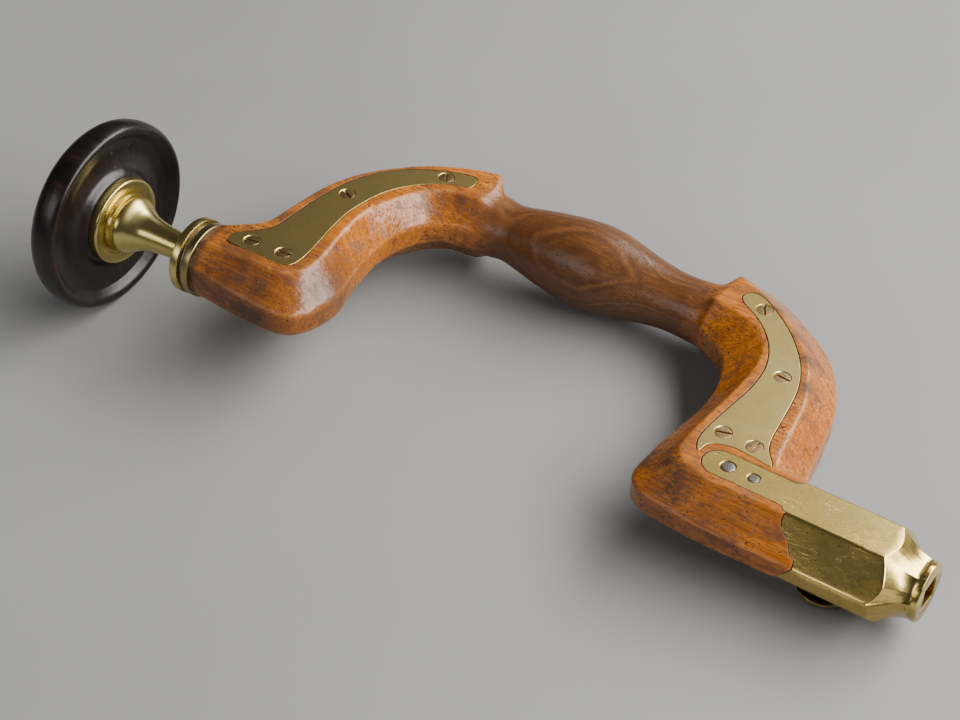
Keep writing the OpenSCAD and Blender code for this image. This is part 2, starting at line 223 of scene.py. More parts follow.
class Nodes:
    """Short-hand for building one node material."""

    def __init__(self, name):
        self.mat = bpy.data.materials.new(name)
        self.mat.use_nodes = True
        self.tree = self.mat.node_tree
        self.tree.nodes.clear()
        where = self.add("ShaderNodeTexCoord").outputs["Object"]
        placed = {"Vector": where, "Location": SHIFT, "Rotation": (ROLL, PITCH, 0.0)}
        self.co = self.add("ShaderNodeMapping", placed, vector_type="TEXTURE").outputs[0]

    def add(self, kind, ins=None, **props):
        """New node; ins gives each input a value or the socket that feeds it."""
        n = self.tree.nodes.new(kind)
        for k, v in props.items():
            setattr(n, k, v)
        for k, v in (ins or {}).items():
            if isinstance(v, bpy.types.NodeSocket):
                self.tree.links.new(v, n.inputs[k])
            else:
                n.inputs[k].default_value = v
        return n

    def math(self, op, a, b=0.0, clamp=False):
        return self.add("ShaderNodeMath", {0: a, 1: b}, operation=op, use_clamp=clamp).outputs[0]

    def scaled(self, sx, sy, sz, rot=(0, 0, 0), move=(0, 0, 0)):
        """Brace-frame coordinates in mm times a factor per axis."""
        scale = (sx * 1000, sy * 1000, sz * 1000)
        ins = {"Vector": self.co, "Scale": scale, "Rotation": rot, "Location": move}
        return self.add("ShaderNodeMapping", ins).outputs[0]

    def noise(self, vec, scale=1.0, detail=3.0, rough=0.55, distort=0.0):
        ins = {"Vector": vec, "Scale": scale, "Detail": detail, "Roughness": rough,
               "Distortion": distort}
        return self.add("ShaderNodeTexNoise", ins).outputs["Fac"]

    def mask(self, value, lo, hi):
        """0 below lo, 1 above hi."""
        return self.ramp(value, (0.0, 0.0), (lo, 0.0), (hi, 1.0))

    def plus(self, a, b, clamp=False):
        return self.math("ADD", a, b, clamp)

    def times(self, a, b, clamp=False):
        return self.math("MULTIPLY", a, b, clamp)

    def vector(self, op, a, b):
        """Vector result of a vector maths node."""
        return self.add("ShaderNodeVectorMath", {0: a, 1: b}, operation=op).outputs[0]

    def ramp(self, fac, *stops):
        n = self.add("ShaderNodeValToRGB", {"Fac": fac})
        e = n.color_ramp.elements
        while len(e) < len(stops):
            e.new(0.5)
        for k, (pos, col) in enumerate(stops):
            e[k].position = pos
            grey = isinstance(col, (int, float))
            e[k].color = (col, col, col, 1.0) if grey else tuple(col) + (1.0,)
        return n.outputs["Color"]

    def mix(self, fac, a, b, mode="MIX"):
        n = self.add("ShaderNodeMix", data_type="RGBA", blend_type=mode)
        for k, v in ((0, fac), (6, a), (7, b)):
            if isinstance(v, bpy.types.NodeSocket):
                self.tree.links.new(v, n.inputs[k])
            elif k == 0:
                n.inputs[k].default_value = v
            else:
                n.inputs[k].default_value = tuple(v) + (1.0,)
        return n.outputs[2]

    def span(self, value, lo, hi, a=0.0, b=1.0):
        ins = {"Value": value, "From Min": lo, "From Max": hi, "To Min": a, "To Max": b}
        return self.add("ShaderNodeMapRange", ins).outputs[0]

    def finish(self, colour, roughness, heights=(), rounding=0.0, **fixed):
        """Principled shader; heights are (socket, metres of relief) pairs."""
        ins = {"Base Color": colour, "Roughness": roughness}
        ins.update({k.replace("_", " "): v for k, v in fixed.items()})
        normal = None
        if rounding:
            normal = self.add("ShaderNodeBevel", {"Radius": rounding}, samples=4).outputs[0]
        for h, dist in heights:
            b = {"Height": h, "Distance": dist, "Strength": 1.0}
            if normal is not None:
                b["Normal"] = normal
            normal = self.add("ShaderNodeBump", b).outputs[0]
        if normal is not None:
            ins["Normal"] = normal
        bsdf = self.add("ShaderNodeBsdfPrincipled", ins)
        out = self.add("ShaderNodeOutputMaterial")
        self.tree.links.new(bsdf.outputs[0], out.inputs[0])
        return self.mat


def beech():
    """Varnished beech. The vertex colour layer holds ridges, dirt mixed with painted shade towards the
    bottom, and how far a point is onto the dark grip.
    """
    g = Nodes("beech_varnished")
    wear_and_shade = g.add("ShaderNodeVertexColor", layer_name="wear_and_shade").outputs["Color"]
    parts = g.add("ShaderNodeSeparateColor", {"Color": wear_and_shade}).outputs
    ridge, dirt_and_low_shade, dark = parts[0], parts[1], parts[2]
    # growth rings about a pith line beside the grip
    pith = (0.0, 0.1375, -0.0485)
    ring_gap = 0.0036
    warp_in = {"Vector": g.scaled(0.014, 0.045, 0.045), "Scale": 1.0, "Detail": 3.0}
    warp = g.add("ShaderNodeTexNoise", warp_in).outputs["Color"]
    shift = g.vector("MULTIPLY", g.vector("SUBTRACT", warp, (0.5, 0.5, 0.5)), (0.0, 0.010, 0.010))
    moved = g.vector("SUBTRACT", g.vector("ADD", g.co, shift), pith)
    flat = g.vector("MULTIPLY", moved, (0.04, 1.0, 1.0))
    dist = g.add("ShaderNodeVectorMath", {0: flat}, operation="LENGTH").outputs["Value"]
    wave = g.math("SINE", g.times(dist, FULL_TURN / ring_gap))
    ring = g.math("POWER", g.span(wave, -1.0, 1.0), 9.0)
    band = g.span(wave, -0.6, 1.0)
    # grain, short strokes, pores and stains, all longer along the grain
    fibre = g.noise(g.scaled(0.05, 1.3, 1.3), detail=4.0, rough=0.65)
    fine = g.noise(g.scaled(0.22, 4.2, 4.2), detail=2.0)
    mottle = g.noise(g.scaled(0.045, 0.07, 0.07), detail=4.0, rough=0.6)
    broad = g.noise(g.scaled(0.014, 0.02, 0.02), detail=2.0)
    crowd = g.times(g.math("SUBTRACT", mottle, 0.5), 0.30)
    fleck_at = g.scaled(0.55, 1.05, 1.05, move=(7.0, 3.0, 1.0))
    fleck = g.noise(fleck_at, detail=3.0, rough=0.6, distort=0.4)
    fleck = g.mask(g.plus(fleck, crowd), 0.625, 0.650)
    bare = g.math("SUBTRACT", 1.0, g.times(dark, 0.75))
    fleck = g.times(fleck, bare)
    dash = g.noise(g.scaled(0.22, 3.0, 3.0, move=(1.0, 8.0, 5.0)), detail=3.0, rough=0.66)
    dash = g.mask(g.plus(dash, crowd), 0.530, 0.610)
    patch = g.noise(g.scaled(0.10, 0.16, 0.16, move=(2.0, 9.0, 4.0)), detail=6.0, rough=0.70)
    patch = g.times(g.mask(patch, 0.530, 0.610), bare)
    # colour: orange limbs, dark grip, then stains, worn ridges, dirt and painted shade on top
    tone = g.plus(g.times(fibre, 0.55), g.times(mottle, 0.45))
    light = g.ramp(tone, (0.34, (0.170, 0.046, 0.007)), (0.50, (0.470, 0.142, 0.014)),
                   (0.64, (0.720, 0.250, 0.028)))
    deep = g.ramp(tone, (0.34, (0.060, 0.023, 0.008)), (0.52, (0.125, 0.050, 0.016)),
                  (0.68, (0.210, 0.090, 0.026)))
    line = g.mix(g.times(band, 0.25), light, (0.210, 0.052, 0.009))
    oval = g.mix(g.times(band, 0.70), deep, (0.045, 0.018, 0.009))
    oval = g.mix(g.times(ring, 0.42), oval, (0.300, 0.130, 0.040))
    col = g.mix(dark, line, oval)
    col = g.mix(g.span(broad, 0.44, 0.68, 0.0, 0.50), col, (0.140, 0.052, 0.018))
    col = g.mix(g.times(g.span(fine, 0.35, 0.65), 0.16), col, (0.090, 0.028, 0.008))
    col = g.mix(g.times(dash, 0.68), col, (0.070, 0.024, 0.008))
    col = g.mix(g.times(fleck, 0.90), col, (0.018, 0.007, 0.004))
    col = g.mix(g.times(patch, 0.62), col, (0.090, 0.036, 0.018))
    rub = g.noise(g.scaled(0.5, 0.8, 0.8), detail=3.0, rough=0.7)
    worn = g.times(ridge, g.span(rub, 0.36, 0.58), clamp=True)
    col = g.mix(g.times(worn, 0.40), col, (0.640, 0.250, 0.060))
    # dirt, with painted shade on the lower faces, darkens the wood
    dirt_and_shade = g.times(dirt_and_low_shade, g.span(rub, 0.30, 0.58, 0.55, 1.25), clamp=True)
    col = g.mix(dirt_and_shade, col, (0.055, 0.027, 0.017))
    rough = g.plus(g.span(mottle, 0.3, 0.7, 0.13, 0.24), g.times(dark, 0.13))
    rough = g.plus(rough, g.times(g.math("MAXIMUM", patch, dirt_and_shade), 0.20), clamp=True)
    rough = g.plus(rough, g.times(worn, 0.22), clamp=True)
    dent = g.noise(g.scaled(0.10, 0.13, 0.13, move=(5.0, 0.0, 2.0)), detail=4.0, rough=0.55)
    pore = g.times(g.noise(g.scaled(0.7, 1.6, 1.6), detail=4.0, rough=0.7), g.plus(dark, 0.12))
    sunk = g.math("SUBTRACT", 1.0, g.math("MAXIMUM", fleck, g.times(patch, 0.4)))
    heights = ((dent, 0.00045), (fibre, 0.000022), (pore, 0.00006), (sunk, 0.00008))
    return g.finish(col, rough, heights, rounding=0.0005, IOR=1.44)


def brass(name, tones, rough, relief=1.0, tarnish=0.5, turned=False, painted_shade_below=0.0):
    """Aged brass: three tones, cloudy tarnish, scratches, dark specks and painted glints, and tool
    rings on turned work.

    The last argument is painted shade: how much the brass darkens towards the table, from about z = 2.5
    mm down.
    """
    g = Nodes(name)
    cloud = g.noise(g.scaled(0.05, 0.06, 0.06), detail=5.0, rough=0.62)
    col = g.ramp(cloud, (0.32, tones[0]), (0.50, tones[1]), (0.68, tones[2]))
    spots = g.noise(g.scaled(0.35, 0.4, 0.4, move=(3.0, 1.0, 8.0)), detail=6.0, rough=0.75)
    spots = g.mask(spots, 0.60, 0.72)
    col = g.mix(g.times(spots, tarnish), col, (0.070, 0.046, 0.018))
    hair = g.noise(g.scaled(0.10, 3.2, 1.0, rot=(0, 0, 0.8)), detail=3.0, rough=0.7)
    cross = g.noise(g.scaled(0.16, 2.6, 1.6, rot=(0.4, 0.3, -1.04)), detail=3.0, rough=0.7)
    both = g.plus(g.times(hair, 0.6), g.times(cross, 0.4))
    marks = None
    for turn, move in ((0.5, 2.0), (-1.1, 6.0), (1.9, 9.0)):
        cuts_at = g.scaled(0.16, 8.5, 1.6, rot=(0.2, 0.1, turn), move=(move, 1.0, move))
        cuts = g.mask(g.noise(cuts_at, detail=1.0), 0.700, 0.750)
        marks = cuts if marks is None else g.math("MAXIMUM", marks, cuts)
    worked = g.noise(g.scaled(0.07, 0.07, 0.07, move=(8.0, 3.0, 3.0)), detail=2.0)
    most = 0.15 if turned else 0.8
    marks = g.times(marks, g.span(worked, 0.46, 0.64, 0.0, most))
    col = g.mix(g.times(marks, 0.45), col, (0.850, 0.700, 0.400))
    speck = g.noise(g.scaled(1.1, 1.3, 1.3, move=(4.0, 4.0, 1.0)), detail=2.0, rough=0.6)
    crust = g.mask(speck, 0.630, 0.670)
    # painted highlight: pale specks that stand in for scratches catching the light; tarnish sets their
    # strength too
    glint = g.ramp(speck, (0.0, 1.0), (0.315, 1.0), (0.350, 0.0), (1.0, 0.0))
    strength = 0.0 if turned else tarnish
    col = g.mix(g.times(crust, strength), col, (0.055, 0.035, 0.014))
    col = g.mix(g.times(glint, strength), col, (0.900, 0.780, 0.500))
    # painted shade and dark reflection: the brass darkens towards the table
    if painted_shade_below:
        height = g.add("ShaderNodeSeparateXYZ", {0: g.scaled(1.0, 1.0, 1.0)}).outputs[2]
        height = g.plus(height, g.span(cloud, 0.3, 0.7, -1.2, 1.2))
        col = g.mix(g.span(height, 3.4, 1.6, 0.0, painted_shade_below), col, (0.130, 0.092, 0.034))
    streaks = g.span(both, 0.3, 0.7, -0.02 * relief, 0.03 * relief)
    r = g.plus(g.span(cloud, 0.3, 0.7, rough + 0.06, rough - 0.04), streaks)
    r = g.plus(r, g.times(g.plus(spots, marks), 0.10), clamp=True)
    soft = g.noise(g.scaled(0.08, 0.09, 0.09, move=(1.0, 5.0, 2.0)), detail=3.0)
    heights = [(soft, 0.00010 * relief), (both, 0.000003 * relief), (marks, 0.000008 * relief)]
    if turned:
        xyz = g.add("ShaderNodeSeparateXYZ", {0: g.scaled(1.0, 1.0, 1.0)}).outputs
        squares = g.plus(g.math("POWER", xyz[1], 2.0), g.math("POWER", xyz[2], 2.0))
        radius = g.math("SQRT", squares)
        per_mm = 1.6
        across_in = {0: g.times(xyz[0], per_mm), 1: g.times(radius, per_mm)}
        across = g.add("ShaderNodeCombineXYZ", across_in)
        heights.append((g.noise(across.outputs[0], detail=3.0, rough=0.7), 0.000010))
    return g.finish(col, r, heights, rounding=0.0002, Metallic=1.0)


def ebony():
    """Polished black hardwood with a brown streak and small dings."""
    g = Nodes("ebony_polished")
    streak = g.noise(g.scaled(0.05, 0.35, 0.05), detail=4.0, rough=0.6)
    cloud = g.noise(g.scaled(0.06, 0.06, 0.06, move=(2.0, 2.0, 0.0)), detail=4.0)
    col = g.ramp(streak, (0.35, (0.0035, 0.0026, 0.0023)), (0.55, (0.0070, 0.0042, 0.0036)),
                 (0.72, (0.0220, 0.0085, 0.0065)))
    col = g.mix(g.span(cloud, 0.48, 0.72, 0.0, 0.60), col, (0.020, 0.008, 0.006))
    ding = g.noise(g.scaled(0.42, 0.42, 0.42, move=(1.0, 7.0, 3.0)), detail=3.0, rough=0.6)
    ding = g.mask(ding, 0.69, 0.75)
    col = g.mix(g.times(ding, 0.22), col, (0.240, 0.200, 0.170))
    rub = g.noise(g.scaled(0.16, 1.2, 1.2), detail=4.0, rough=0.7)
    rubbed = g.span(rub, 0.3, 0.7, -0.04, 0.08)
    r = g.plus(g.span(cloud, 0.3, 0.7, 0.26, 0.38), rubbed, clamp=True)
    soft = g.noise(g.scaled(0.07, 0.07, 0.07), detail=3.0)
    heights = ((soft, 0.0003), (rub, 0.00002), (g.math("SUBTRACT", 1.0, ding), 0.00006))
    return g.finish(col, r, heights, rounding=0.0003, IOR=1.45)


def steel(name, tones, rough):
    """Worn steel: two tones, brown pits and fine scratches."""
    g = Nodes(name)
    cloud = g.noise(g.scaled(0.25, 0.25, 0.25), detail=6.0, rough=0.7)
    col = g.ramp(cloud, (0.35, tones[0]), (0.62, tones[1]))
    pits = g.noise(g.scaled(0.9, 0.9, 0.9, move=(3.0, 3.0, 3.0)), detail=3.0)
    pits = g.mask(pits, 0.62, 0.70)
    col = g.mix(g.times(pits, 0.6), col, (0.055, 0.035, 0.025))
    hair = g.noise(g.scaled(0.4, 3.0, 3.0, rot=(0.0, 0.0, 0.6)), detail=3.0)
    r = g.span(cloud, 0.3, 0.7, rough + 0.1, rough - 0.05)
    r = g.plus(r, g.times(pits, 0.2), clamp=True)
    heights = ((hair, 0.00002), (g.math("SUBTRACT", 1.0, pits), 0.00004))
    return g.finish(col, r, heights, rounding=0.00015, Metallic=1.0)


BEECH = beech()
EBONY = ebony()
PLATE = brass("brass_plate", ((0.450, 0.330, 0.105), (0.560, 0.420, 0.145), (0.670, 0.520, 0.200)),
              0.35, relief=0.6, tarnish=0.30)
SCREW = brass("brass_screw", ((0.260, 0.160, 0.065), (0.380, 0.245, 0.110), (0.500, 0.350, 0.170)),
              0.36, tarnish=0.8)
# the chuck's brass gets painted shade and dark reflection on its lower faces
CHUCK = brass("brass_chuck", ((0.640, 0.450, 0.120), (0.760, 0.550, 0.160), (0.860, 0.660, 0.230)),
              0.22, tarnish=0.60, painted_shade_below=0.62)
TURNED = brass("brass_turned", ((0.510, 0.400, 0.130), (0.610, 0.490, 0.170), (0.700, 0.580, 0.230)),
               0.27, relief=0.04, tarnish=0.18, turned=True)
OLIVE = brass("brass_olive", ((0.300, 0.230, 0.095), (0.390, 0.310, 0.140), (0.480, 0.390, 0.190)),
              0.32, relief=0.3, turned=True)
STEEL = steel("steel_bright", ((0.085, 0.076, 0.066), (0.250, 0.232, 0.208)), 0.38)
SPRING = steel("steel_spring", ((0.120, 0.110, 0.105), (0.240, 0.230, 0.225)), 0.38)


def place(ob, mat, body, slot, *nodes):
    """Gives a piece its material and body, and hides the CAD nodes that it stands for. slot is not
    used.
    """
    ob.data.materials.clear()
    ob.data.materials.append(mat)
    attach(ob, body)
    if nodes:
        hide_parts(*nodes)
    return ob


# ---------------------------------------------------------------- stock

# Each limb has an eight-sided section. Its edges run through these x, y points, from the limb's
# end to the crest beside the grip: the plate face's edges and the side's, outer and inner.
HEAD_FACE_OUT = [[WOOD_X, 7.4], [72, 12], [78.2, 19.5], [79.8, 36], [82.5, 55], [91, 72.5],
                 [106, 88], [119.6, 96], [131.5, 100]]
HEAD_SIDE_OUT = [[WOOD_X, 13.4], [67.3, 19.5], [69.3, 29], [70, 42], [72.5, 57], [80.5, 77],
                 [97.5, 97], [113, 106], [126.5, 109.2]]
HEAD_FACE_IN = [[WOOD_X, -5.4], [88, -4.9], [103.5, -3], [108.3, 8], [104.5, 33], [104.2, 49],
                [111.5, 68.5], [121.5, 78.3], [132, 80.6]]
HEAD_SIDE_IN = [[WOOD_X, -13.4], [88, -16], [112, -14.5], [119.8, 3], [115.3, 26], [113.4, 46],
                [117.5, 61.5], [124, 69], [133, 72]]
CHUCK_FACE_OUT = [[330, 8.6], [307, 8.7], [301.8, 14], [299, 28], [295.2, 47.5], [285, 69.5],
                  [268.5, 85], [256, 92.5], [242.4, 98.7]]
CHUCK_SIDE_OUT = [[330, 20.2], [313, 20.3], [309.3, 26], [306.6, 42], [301, 64], [289, 84],
                  [271, 98.5], [257, 106], [242.4, 111]]
CHUCK_FACE_IN = [[330, -8.6], [290, -9], [273.5, -4], [270.8, 9], [272.2, 35], [272, 56],
                 [266.5, 71], [256, 77.5], [241.5, 80.6]]
CHUCK_SIDE_IN = [[330, -20.2], [285, -20.8], [262, -15.5], [259.3, 3], [262, 31], [261, 47],
                 [256, 60], [250, 67], [241, 72]]
UPPER_OUTLINE = [[74.2, -0.6], [87, -0.7], [98.5, -0.6], [102.7, 3.2], [102.4, 14], [99.8, 31],
                 [99, 44], [101.8, 60.5], [109, 73], [119, 81.6], [127.2, 85], [126.3, 91.8],
                 [118.5, 90.6], [106, 84.4], [94, 73.5], [87, 59.5], [84, 43.5], [83, 28],
                 [82, 17], [77.5, 10.4], [72.8, 5.6], [72.4, 1.6]]
LOWER_OUTLINE = [[277.2, 1.3], [278.6, 6.6], [285, 9.6], [294, 9.4], [301.2, 8.9], [297, 15.4],
                 [294.7, 22], [292.2, 40], [289.7, 52.2], [284.6, 64], [275.6, 76], [264.5, 86],
                 [254.6, 92], [249.3, 90.2], [250.4, 85], [260.5, 78.3], [269.5, 68.5], [275, 56],
                 [276.3, 42], [274.8, 25], [273.9, 11], [274.8, 5]]
# x, y and the turn of the slot in degrees
UPPER_SCREWS = [[80.7, 4.9, 15], [95, 5.9, 8], [91.1, 52, -25], [115.8, 85.2, 122]]
LOWER_SCREWS = [[291.9, 14.4, 80], [279.6, 14.7, 20], [282.6, 53.8, -5], [259.2, 85.3, 120]]
GRIP_PROFILE = [[132, 12.5], [140, 12.4], [147.5, 11.8], [156, 13.3], [166, 15.4], [180, 17.4],
                [191, 17.4], [204, 14.8], [213, 12.9], [222, 11.8], [232, 12.1], [242, 12.5]]
GRIP_FROM, GRIP_TO = 148.0, 227.0
# from here on the wood lies beside the chuck's brass, so it keeps its exact shape
BRASS_FROM = 300.0
# share of the way from the crest's section to the round grip, against the share of the length
HEAD_FALL = [(0, 0), (0.1, 0.04), (0.2, 0.17), (0.3, 0.42), (0.4, 0.67), (0.5, 0.86),
             (0.6, 0.93), (0.75, 0.97), (1, 1)]
TAIL_FALL = [(0, 0), (0.05, 0.07), (0.1, 0.22), (0.2, 0.56), (0.3, 0.77), (0.45, 0.90),
             (0.6, 0.96), (0.8, 0.99), (1, 1)]
STEPS = 16
# where the points lie along each flat and each rounded corner of the section
FLATS = (0.05, 0.14, 0.27, 0.42, 0.58, 0.73, 0.86, 0.95)
ARC = (0.0, 0.25, 0.5, 0.75, 1.0)
# patches of dirt: x, y, z, how far each spreads in mm, and its strength
GRIME = ((276, -14, 9, 9, 0.75), (290, -19, 5, 12, 0.35), (78, -11, 10, 11, 0.55),
         (89, -12, 9, 8, 0.45), (96, -14, 2, 10, 0.60), (71, -16, 1, 5, 0.6),
         (104, 2, 12, 4, 0.5), (128, 78, 12, 3, 0.9), (268, -6, 10, 7, 0.7),
         (262, -4, 4, 9, 0.6), (303, -12, 11, 4, 0.45), (296, -16, 7, 5, 0.4),
         (118, 6, 5, 12, 0.5), (312, -14, 10, 5, 0.45), (236, 84, 10, 6, 0.6),
         (137, 80, 10, 7, 0.5), (120, 76, 8, 5, 0.6), (300, 20, 12, 6, 0.35),
         (84, -13, 9, 17, 0.55), (80, 24, 13, 6, 0.55), (81, 44, 13, 6, 0.55),
         (88, 64, 13, 6, 0.5), (100, 82, 13, 6, 0.5), (256, 93, 14, 4, 0.7),
         (264, 89, 14, 4, 0.6), (276, 79, 14, 4.5, 0.7), (286, 68, 14, 4.5, 0.6),
         (293, 54, 14, 4.5, 0.55), (271, 0, 13, 6, 0.5), (282, -15, 3, 14, 0.35))


def ring_of(corners, radius):
    """Ring through eight corners, each rounded off, with the ridge mask and the angle of each point."""
    pts, ridge, ang = [], [], []
    n = len(corners)
    for j in range(n):
        c, p, q = corners[j], corners[j - 1], corners[(j + 1) % n]
        lp, lq = np.linalg.norm(p - c), np.linalg.norm(q - c)
        a = c + (p - c) / lp * min(radius[j], 0.3 * lp)
        b = c + (q - c) / lq * min(radius[j], 0.3 * lq)
        for s in ARC:
            pts.append((1 - s) ** 2 * a + 2 * s * (1 - s) * c + s * s * b)
            ridge.append(1.0 - 1.3 * abs(s - 0.5))
            ang.append(67.5 - 45 * j + (0.5 - s) * 2.6)
        e = q + (c - q) / lq * min(radius[(j + 1) % n], 0.3 * lq)
        for f in FLATS:
            pts.append(b + (e - b) * f)
            ridge.append(max(0.0, 1.0 - min(f, 1 - f) * lq / 0.9) * 0.25)
            ang.append(67.5 - 45 * j - 1.3 - f * 42.4)
    return np.array(pts), np.array(ridge), np.radians(ang)


def limb_rings(face_out, side_out, face_in, side_in, end_face_z, end_side_z):
    """Eight corners of each section along a limb. The end_ heights are those at the limb's end."""
    edges = (open_curve(p, STEPS) for p in (face_out, side_out, face_in, side_in))
    out = []
    for i, (a, b, c, d) in enumerate(zip(*edges)):
        u = i / STEPS
        za = FACE_Z - (FACE_Z - end_face_z) * max(0.0, 1 - u)
        zb = end_side_z + (SIDE_Z - end_side_z) * min(1.0, u / 2.4)
        outer = [(*a, za), (*b, zb), (*b, -zb), (*a, -za)]
        inner = [(*c, -za), (*d, -zb), (*d, zb), (*c, za)]
        out.append(np.array(outer + inner))
    return out


def stock_mesh():
    """Both limbs and the grip as one skin. Returns verts, faces and the colour layer of each point:
    ridges, dirt with painted shade towards the bottom, and the grip.
    """
    grip = open_curve(GRIP_PROFILE, 12)

    def circle(x, ang):
        r = np.interp(x, grip[:, 0], grip[:, 1])
        return np.stack([x, GRIP_Y + r * np.cos(ang), r * np.sin(ang)], 1)

    def corner_radius(q):
        x = float(np.mean(q[:, 0]))
        base = 1.15 + 0.4 * noise.noise(Vector((x * 0.07, 1.0, 0.0)))
        if x > BRASS_FROM:
            base = 0.45
        return [base + 0.25 * nz(q[j], 0.11, j) for j in range(8)]

    def limb_part(parts, x_end, fall, steps=22):
        """A limb, then its fall from the crest to the round grip at x_end."""
        fall = open_curve(fall, 6)
        rs, rg, tg = [], [], []
        for q in parts:
            crest, r, ang = ring_of(q, corner_radius(q))
            rs.append(crest)
            rg.append(r)
            tg.append(np.zeros(len(crest)))
        for i in range(1, steps + 1):
            t = i / steps
            ahead = t + 0.09 * np.clip((crest[:, 1] - 93) / 12, 0, 1) * t / (t + 0.04)
            w = np.interp(ahead, fall[:, 0], fall[:, 1])[:, None]
            x = crest[:, 0] + (x_end - crest[:, 0]) * t
            g = circle(x, ang)
            p = crest + (g - crest) * w
            p[:, 0] = x
            rs.append(p)
            rg.append(r * (1 - t) ** 1.5)
            tg.append(np.full(len(p), min(1.0, t * 1.15)))
        return rs, rg, tg, ang

    head = limb_rings(HEAD_FACE_OUT, HEAD_SIDE_OUT, HEAD_FACE_IN, HEAD_SIDE_IN, 13.2, 5.6)
    tail = limb_rings(CHUCK_FACE_OUT, CHUCK_SIDE_OUT, CHUCK_FACE_IN, CHUCK_SIDE_IN, FACE_Z, BAR_C)
    rings, ridges, tags, ang = limb_part(head, GRIP_FROM, HEAD_FALL)
    t, tr, tt, ang = limb_part(tail, GRIP_TO, TAIL_FALL)
    for x in np.linspace(GRIP_FROM, GRIP_TO, 64)[1:-1]:
        rings.append(circle(np.full(len(ang), x), ang))
        ridges.append(np.zeros(len(ang)))
        tags.append(np.ones(len(ang)))
    rings += t[::-1]
    ridges += tr[::-1]
    tags += tt[::-1]
    rings, ridges, tags = np.array(rings), np.array(ridges), np.array(tags)

    # low lumps and nicked ridges, but none next to the ferrule or beside the chuck's brass
    outward = rings - rings.mean(1, keepdims=True)
    outward /= np.linalg.norm(outward, axis=2, keepdims=True)
    flat = rings.reshape(-1, 3)
    ridge, tag, out = ridges.ravel(), tags.ravel(), outward.reshape(-1, 3)
    wear_and_shade = np.zeros((len(flat), 3))
    for i, v in enumerate(flat):
        lump = 0.05 * nz(v, 0.06) + 0.025 * nz(v, 0.21, 4)
        nick = max(0.0, nz(v, 0.23, 9) - 0.28) * ridge[i] * 0.9
        free = min(1.0, max(0.0, (v[0] - 66) / 6)) * (1.0 if v[0] < BRASS_FROM else 0.0)
        flat[i] = v + out[i] * (lump * free - nick * free)
    for i, v in enumerate(flat):
        x, y, z = v
        g = max(0.0, 0.9 * math.exp(-((x - 65) / 2.2) ** 2))
        for cx, cy, cz, s, k in GRIME:
            d2 = ((x - cx) ** 2 + (y - cy) ** 2 + (z - cz) ** 2) / (s * s)
            g = max(g, k * math.exp(-d2) * (0.85 + 1.1 * max(0.0, nz(v, 0.16, 5) + 0.2)))
        # painted shade: the wood darkens towards the bottom, from z = 2 mm down, mixed into the dirt
        # channel
        low = max(0.0, min(1.0, (2 - z) / 10)) * 0.22
        wear_and_shade[i] = (min(1.0, ridge[i]), min(1.0, g + low), min(1.0, tag[i]))
    faces = loft(rings)[1]
    return flat, faces, np.clip(wear_and_shade, 0, 1)


def strap_outline(grow):
    """Outline of the straps, widened all round by grow."""
    w, v = STRAP_W + grow, STRAP_ROOT + grow
    half = np.linspace(math.pi / 2, 1.5 * math.pi, 25)
    arc = [(STRAP_X + w * math.cos(a), w * math.sin(a)) for a in half]
    right = [(311.0, -w), (312.6, -w - 0.25), (314.2, -v), (318.0, -v)]
    return arc + right + [(x, -y) for x, y in right[::-1]]


# rear edge of the brass on the chuck's upper face and bevels, outside the strap: x against y
EDGE_Y = [0.0, 7.9, 8.6, 9.4, 11.2, 12.7, 14.3, 17.3, 20.2, 40.0]
EDGE_X = [314.6, 315.2, 315.7, 315.3, 315.6, 317.0, 319.9, 322.6, 325.2, 325.2]
EDGE = open_curve(list(zip(EDGE_Y, EDGE_X)), 8)


def rear_edge(y, z):
    """Where brass takes over from wood, at a point of the chuck's eight-sided section."""
    if z >= BAR_C:
        return float(np.interp(abs(y), EDGE[:, 0], EDGE[:, 1]))
    if z > -BAR_C:
        side_z = [-BAR_C, -1.5, -0.15, 2.17, BAR_C]
        return float(np.interp(z, side_z, [319.9, 321.4, 322.7, 324.6, 325.2]))
    return float(np.interp(abs(y), [8.2, 9.4, 20.2], [315.2, 315.6, 319.9]))


def chuck_section():
    """Directions round the chuck, close together at its corners, with the section's radius in each."""
    bevel = (BAR_W + FACE_Z) / math.sqrt(2)

    def flat_radius(t):
        s, q = abs(math.sin(t)), abs(math.cos(t))
        parts = (s / FACE_Z, q / BAR_B, (s + q) / math.sqrt(2) / bevel)
        return 1.0 / sum(v ** 110 for v in parts) ** (1 / 110)

    marks = []
    for y, z in ((BAR_W, FACE_Z), (BAR_B, BAR_C)):
        t = math.atan2(z, y)
        marks += [t + math.radians(d) for d in (-1.2, -0.7, -0.3, 0.0, 0.3, 0.7, 1.2)]
    for y in (STRAP_W, STRAP_W + 0.0004, 5.6, 4.5, 3.0, 1.5, 7.3, 8.0, STRAP_ROOT):
        marks.append(math.atan2(FACE_Z, y))
    marks += [math.radians(d) for d in np.arange(0, 90.1, 1.5)]
    first = []
    for t in sorted(marks):
        if not first or t - first[-1] > 1e-6:
            first.append(t)
    full = first + [math.pi - t for t in first[::-1][1:]]
    full += [t + math.pi for t in full[1:-1]]
    return np.array(full), np.array([flat_radius(t) for t in full])


def root_cutter():
    """Room for the chuck in the end of the stock, behind the same edge."""
    t, rho = chuck_section()
    cs, sn = np.cos(t), np.sin(t)
    rear = np.array([rear_edge(y, z) for y, z in zip(rho * cs, rho * sn)]) - 0.20
    inside, beyond = np.full(len(t), 316.8), np.full(len(t), 380.0)
    rows = [(inside, rho * 0.2), (rear, rho * 0.75), (rear, rho * 1.5), (beyond, rho * 1.5),
            (beyond, rho * 0.2)]
    return loft([np.stack([x, r * cs, r * sn], 1) for x, r in rows])


